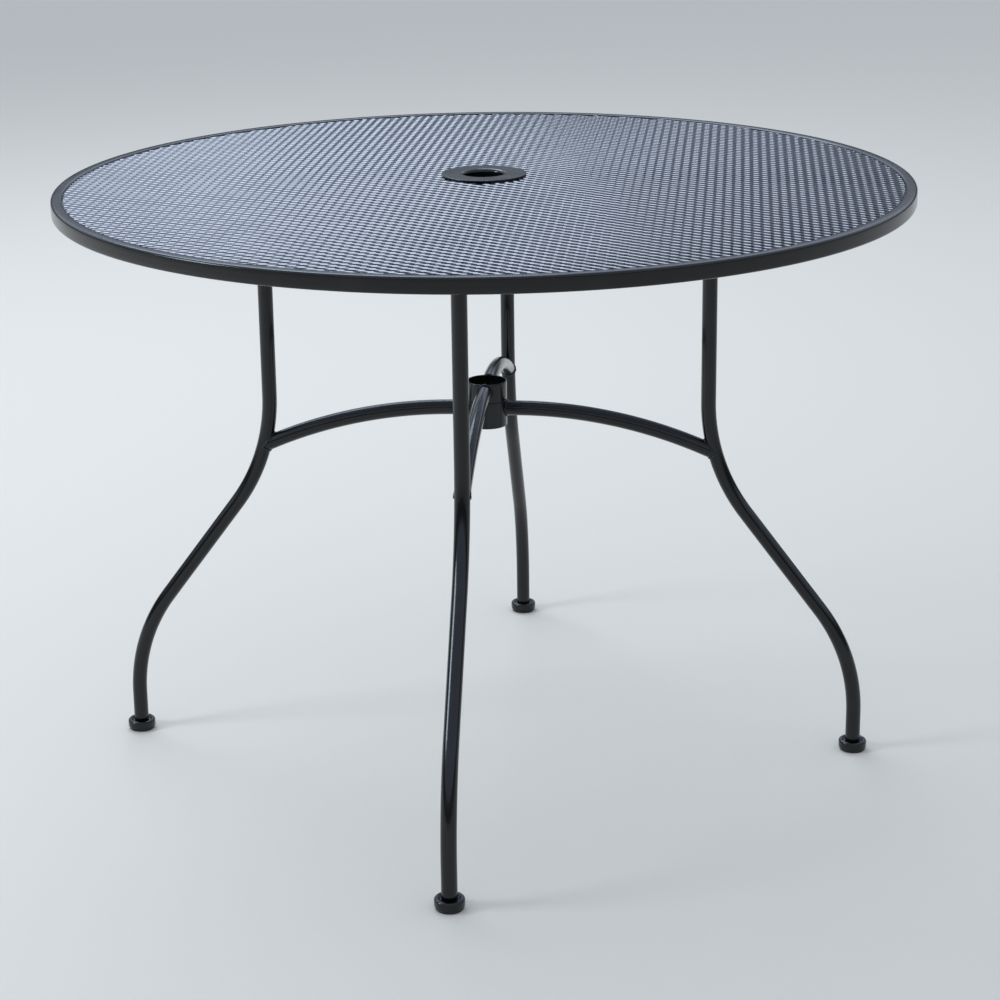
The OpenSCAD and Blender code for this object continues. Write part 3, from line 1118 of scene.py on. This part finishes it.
@dataclass
class TubeFrame(Assembly):
    """The bent tubes of the legs and braces, swept along their centre lines."""

    around: int = 40
    bend_steps: int = 26
    sharp: float = 40.0

    def tree(self) -> NodeSheet:
        """The tree that sweeps a round section along each line of the mesh that goes in.

        Returns:
            The tree.
        """
        sheet = NodeSheet("bent_tube", self.finishes.coat, radius=self.sizes.tube_r, sides=self.around)
        line = sheet.shape("MeshToCurve", Mesh=sheet.given["Geometry"])
        section = sheet.shape(
            "CurvePrimitiveCircle", Resolution=sheet.given["Sides"], Radius=sheet.given["Radius"]
        )
        sheet.finish(sheet.shape("CurveToMesh", Curve=line, Profile_Curve=section, Scale=1.0, Fill_Caps=True))
        return sheet

    def leg_line(self, side: Side) -> Points:
        """A leg's centre line, from under its plate down to the foot's dish.

        Args:
            side: The leg.

        Returns:
            The line's points.
        """
        s = self.sizes
        _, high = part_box(f"leg_{side.word}")
        turns = [math.asin(s.slope_sine) * k / self.bend_steps for k in range(self.bend_steps + 1)]
        ankle_z = s.bend_z - s.slope_sine * s.bends_r - s.slope_cosine * s.slope_l
        knee = s.leg_r + s.upper_bend_r, s.bend_z, -s.upper_bend_r
        ankle = s.foot_r - s.lower_bend_r, ankle_z, s.lower_bend_r
        points = [(s.leg_r, high.z)]
        for (x, z, r), angles in ((knee, turns), (ankle, turns[::-1])):
            points += [(x + r * math.cos(a), z + r * math.sin(a)) for a in angles]
        points.append((s.foot_r, s.dish_z))
        return turned(np.array([(x, 0.0, z) for x, z in points]), side)

    def build(self) -> None:
        """Builds each leg and brace, which stand for the CAD tubes."""
        sheet = self.tree()
        for side in Side:
            for word, line in (("leg", self.leg_line(side)), ("brace", Brace(side).line())):
                name = f"{word}_tube_{side.word}"
                piece = sheet.run(line_mesh(name + "_line", [(line, False)]), name)
                smooth_to(piece, self.sharp)
                mount_piece(piece, Slot.COAT, f"{word}_{side.word}")


@dataclass
class Collars(Assembly):
    """The two sleeves on the table's axis, with their cut ends rounded over by the coat."""

    wall: float = 1.5 * MM
    edge_r: float = 0.7 * MM
    edge_steps: int = 4
    around: int = 96
    rows: int = 6

    def build(self) -> None:
        """Builds both sleeves, which stand for the CAD ones."""
        r = self.sizes.collar_r
        for node in ("upper_collar", "lower_collar"):
            low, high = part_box(node)
            section = round_box((r - self.wall, r), (low.z, high.z), self.edge_r, self.edge_steps, self.rows)
            self.turn(f"{node}_sleeve", section, self.around, node)


@dataclass
class FootCups(Assembly):
    """The round feet: a cup with a rolled lip, dished towards the leg."""

    radius: float = 18 * MM
    low: float = 3 * MM
    high: float = 14 * MM
    lip_r: float = 3 * MM
    lip_turn: float = 120.0
    lip_steps: int = 10
    edge_r: float = 2.4 * MM
    edge_steps: int = 6
    dish_low: float = 9.4 * MM
    dish_inset: float = 1 * MM
    dish_steps: int = 7
    around: int = 72

    def section(self) -> Section:
        """The cup's section, from the axis below round to the axis above.

        Returns:
            The section, as lathe takes it.
        """
        edge, roll = self.edge_r, self.lip_r
        bottom = arc((self.radius - edge, self.low + edge), edge, -90, 0, self.edge_steps)
        lip = arc((self.radius - roll, self.high - roll), roll, 0, self.lip_turn, self.lip_steps)
        start_r, start_z = lip[-1]
        across, down = self.sizes.tube_r - self.dish_inset - start_r, self.dish_low - start_z
        shares = [k / self.dish_steps for k in range(1, self.dish_steps + 1)]
        dish = [(start_r + across * t, start_z + down * (1 - (1 - t) ** 2)) for t in shares]
        return [(0.0, self.low)] + bottom + lip + dish + [(0.0, self.dish_low)]

    def build(self) -> None:
        """Builds the four cups, which stand for the CAD feet."""
        for side in Side:
            x, y, z = turned(np.array([[self.sizes.foot_r, 0.0, 0.0]]), side)[0].tolist()
            name = f"foot_cup_{side.word}"
            self.turn(name, self.section(), self.around, f"foot_{side.word}", (x, y, z))


# Welds


@dataclass(frozen=True)
class WeldBead:
    """A bead of weld with ripples, laid along a line."""

    radius: float = 1.35 * MM
    ripple_pitch: float = 2.2 * MM
    ripple_depth: float = 0.12
    unevenness: float = 0.8
    wander: float = 0.7 * MM
    step: float = 0.35 * MM

    SIDES: ClassVar[int] = 10
    SWELL_NOISE: ClassVar[Pair] = (300.0, 1.0)
    WANDER_NOISE: ClassVar[Pair] = (190.0, 0.0)
    NOISE_MIDDLE: ClassVar[float] = 0.5

    @classmethod
    def tree(cls, material: bpy.types.Material) -> NodeSheet:
        """The tree that lays a rippled bead along each line of the mesh that goes in.

        Args:
            material: The beads' material.

        Returns:
            The tree, whose inputs are the bead's fields.
        """
        sheet = NodeSheet("weld_bead", material, **asdict(cls()))
        given = sheet.given
        line = sheet.shape("MeshToCurve", Mesh=given["Geometry"])
        even = sheet.shape("ResampleCurve", {"mode": "LENGTH"}, Curve=line, Length=given["Step"])
        along = sheet.node("GeometryNodeSplineParameter")["Length"]
        turn = sheet.times(sheet.math("DIVIDE", along, given["Ripple Pitch"]), math.pi)
        wave = sheet.math("ABSOLUTE", sheet.math("SINE", turn))
        dip = sheet.times(given["Ripple Depth"], sheet.math("SUBTRACT", 1.0, wave))
        noise = sheet.noise(*cls.SWELL_NOISE)[0]
        swell = sheet.times(sheet.math("SUBTRACT", noise, cls.NOISE_MIDDLE), given["Unevenness"])
        factor = sheet.math("ADD", sheet.math("SUBTRACT", 1.0, dip), swell)
        drift = sheet.minus(sheet.noise(*cls.WANDER_NOISE)["Color"], (cls.NOISE_MIDDLE,) * 3)
        swept = sheet.shape(
            "CurveToMesh",
            Curve=sheet.shape("SetPosition", Geometry=even, Offset=sheet.scaled(drift, given["Wander"])),
            Profile_Curve=sheet.shape("CurvePrimitiveCircle", Resolution=cls.SIDES, Radius=1.0),
            Scale=sheet.times(given["Radius"], factor),
            Fill_Caps=True,
        )
        sheet.finish(sheet.shape("SetShadeSmooth", Geometry=swept))
        return sheet


@dataclass
class FrameWelds(Assembly):
    """The beads of the leg and brace frames, the feet and the rails."""

    foot_out: float = 0.7 * MM
    foot_up: float = 1.6 * MM
    head_out: float = 0.2 * MM
    head_up: float = 0.1 * MM
    rail_corner: float = 1.2 * MM
    rail_top_gap: float = 1.5 * MM

    beads: ClassVar[dict[str, WeldBead]] = {
        "brace": WeldBead(),
        "collar": WeldBead(radius=1.6 * MM, ripple_pitch=2.6 * MM),
        "foot": WeldBead(radius=1.9 * MM, ripple_pitch=3.1 * MM, ripple_depth=0.16),
        "leg_head": WeldBead(radius=1.5 * MM, step=0.5 * MM),
        "rail": WeldBead(radius=1.5 * MM, step=0.5 * MM),
    }

    def rail_line(self, side: Side, inner: bool) -> Points:
        """The three sides of a rail's end that are welded, as an open line.

        Args:
            side: The rail's leg.
            inner: Whether it is the end at the hub.

        Returns:
            The line's points.
        """
        s = self.sizes
        low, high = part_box(f"rail_{side.word}")
        base = high.z - s.rail_h if inner else low.z
        top = high.z if inner else low.z + s.rail_h
        half, corner = s.rail_w / 2, self.rail_corner
        shape = [(-half, top - self.rail_top_gap), (-half, (base + top) / 2), (-half, base + corner)]
        shape.append((-half + corner, base))
        shape += [(0.0, base)] + [(-y, z) for y, z in reversed(shape)]
        radius = s.hub_r if inner else s.rim_r - s.rim_w
        points = [(math.sqrt(radius**2 - y**2), y, z) for y, z in shape]
        return turned(np.array(points), side)

    def lines_at(self, side: Side) -> dict[str, Lines]:
        """The lines of every bead at one leg.

        Args:
            side: The leg.

        Returns:
            Each line's points, and whether it closes on itself, by the bead's word.
        """
        s, brace = self.sizes, Brace(side)
        plate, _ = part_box(f"leg_plate_{side.word}")
        foot = ring(s.tube_r + self.foot_out, (s.foot_r, 0.0, s.dish_z + self.foot_up))
        head = ring(s.tube_r + self.head_out, (s.leg_r, 0.0, plate.z + self.head_up))
        return {
            "brace": [(brace.seam(), True)],
            "collar": [(brace.collar_seam(), True)],
            "foot": [(turned(foot, side), True)],
            "leg_head": [(turned(head, side), True)],
            "rail": [(self.rail_line(side, inner), False) for inner in (False, True)],
        }

    def build(self) -> None:
        """Lays every bead and hides the CAD beads that they stand for."""
        sheet = WeldBead.tree(self.finishes.bead)
        legs = [self.lines_at(side) for side in Side]
        for word, bead in self.beads.items():
            name = f"{word}_weld_beads"
            seed = line_mesh(name + "_lines", [line for lines in legs for line in lines[word]])
            nodes = [f"{word}_welds"] if f"{word}_welds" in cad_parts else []
            mount_piece(sheet.run(seed, name, **asdict(bead)), Slot.COAT, *nodes)


# CAD pieces that keep their shape


@dataclass
class CadPieces(Assembly):
    """The CAD nodes whose shape is right, which get their finish here."""

    zinc_nodes: tuple[str, ...] = ("leg_bolts", "leg_washers", "leg_nuts")

    def build(self) -> None:
        """Gives every CAD node its material."""
        special = dict.fromkeys(self.zinc_nodes, self.finishes.zinc) | {"mesh_panel": self.finishes.mesh}
        for name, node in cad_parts.items():
            plain = self.finishes.glide if name.startswith("pad_") else self.finishes.coat
            material = special.get(name, plain)
            node.data.materials.clear()
            node.data.materials.append(material)
            LOG.info("%s: %s", name, material.name)


# Studio


@dataclass
class PhotoCamera:
    """The camera that stands where the photograph was taken from."""

    focal_px: float = 2391.85
    frame_px: float = 1000.0
    middle_px: Pair = (487.30, 425.07)
    distance: float = 2.9275
    height: float = 1.3067
    pitch: float = 0.2899
    roll: float = -0.0144
    table_turn: float = 0.1073
    sensor_mm: float = 36.0
    clip: Pair = (0.05, 200.0)

    def build(self) -> None:
        """Makes the camera and gives it to the scene."""
        lens = bpy.data.cameras.new("photo_camera")
        lens.sensor_width = self.sensor_mm
        lens.lens = self.focal_px / self.frame_px * self.sensor_mm
        lens.shift_x = 0.5 - self.middle_px[0] / self.frame_px
        lens.shift_y = self.middle_px[1] / self.frame_px - 0.5
        lens.clip_start, lens.clip_end = self.clip
        camera = placed("photo_camera", lens)
        stand = Matrix.Translation((0.0, -self.distance, self.height))
        aim = Matrix.Rotation(math.pi / 2 - self.pitch, 4, "X") @ Matrix.Rotation(self.roll, 4, "Z")
        camera.matrix_world = Matrix.Rotation(self.table_turn, 4, "Z") @ stand @ aim
        bpy.context.scene.camera = camera


@dataclass(frozen=True)
class SoftBox:
    """A large soft lamp that points at the table."""

    name: str
    place: Place
    width: float
    depth: float
    power: float
    tone: Colour = (0.72, 0.86, 1.0)
    target: Place = (0.0, 0.0, 0.6)

    def build(self) -> None:
        """Makes the lamp."""
        data = bpy.data.lights.new(self.name, "AREA")
        data.shape = "RECTANGLE"
        data.size, data.size_y = self.width, self.depth
        data.energy, data.color = self.power, self.tone
        lamp = placed(self.name, data)
        lamp.location = self.place
        aim = Vector(self.target) - Vector(self.place)
        lamp.rotation_euler = aim.to_track_quat("-Z", "Y").to_euler()


@dataclass(frozen=True)
class SkyStop:
    """A colour of the sky, and the sine of the height at which it stands."""

    height: float
    colour: Colour


@dataclass
class Studio:
    """A plain pale floor, soft lamps, and a sky that is dim low down and bright overhead."""

    floor_half: float = 40.0
    low_sky: SkyStop = SkyStop(0.185, (0.11, 0.118, 0.124))
    middle_sky: SkyStop = SkyStop(0.228, (0.64, 0.73, 0.92))
    high_sky: SkyStop = SkyStop(0.62, (0.62, 0.74, 0.92))
    lamps: tuple[SoftBox, ...] = (
        SoftBox("back_lamp", place=(-1.4, 2.6, 3.9), width=3.0, depth=2.2, power=94.0),
        SoftBox("left_lamp", place=(-3.4, -1.2, 2.2), width=1.0, depth=1.4, power=52.0),
    )

    def floor(self) -> None:
        """Makes the floor, which isn't part of the table."""
        h = self.floor_half
        corners = [(-h, -h, 0), (h, -h, 0), (h, h, 0), (-h, h, 0)]
        mesh = new_mesh("studio_floor", corners, [], [(0, 1, 2, 3)])
        mesh.materials.append(PaleFloor("studio_floor").material())
        floor = placed("studio_floor", mesh)

    def sky(self) -> None:
        """Makes the world: dim at the horizon and bright overhead."""
        world = bpy.data.worlds.new("studio_sky")
        bpy.context.scene.world = world
        world.use_nodes = True
        sheet, background = NodeTree(world.node_tree), world.node_tree.nodes["Background"].inputs
        parts = sheet.node("ShaderNodeSeparateXYZ", sheet.node("ShaderNodeTexCoord")["Generated"])
        ramp = world.node_tree.nodes.new("ShaderNodeValToRGB")
        stops = ramp.color_ramp.elements
        for stop, sky in zip(stops, (self.low_sky, self.high_sky)):
            stop.position, stop.color = sky.height, (*sky.colour, 1.0)
        stops.new(self.middle_sky.height).color = (*self.middle_sky.colour, 1.0)
        sheet.fill(ramp.inputs[0], parts[2])
        sheet.fill(background["Color"], ramp.outputs[0])
        sheet.fill(background["Strength"], 1.0)

    def build(self) -> None:
        """Builds the floor, the sky and the lamps."""
        self.floor()
        self.sky()
        for lamp in self.lamps:
            lamp.build()
        bpy.context.scene.view_settings.view_transform = "Standard"


def main() -> None:
    """Builds the studio and every part of the table in order."""
    logging.basicConfig(level=logging.INFO, format="%(message)s")
    PhotoCamera().build()
    Studio().build()
    finishes = Finishes()
    parts = (CadPieces, RimTube, MeshTop, TubeFrame, Collars, FootCups, FrameWelds, MeshTacks)
    for part in parts:
        part(finishes).build()
        LOG.info("built %s", part.__name__)


if __name__ == "__main__":
    main()
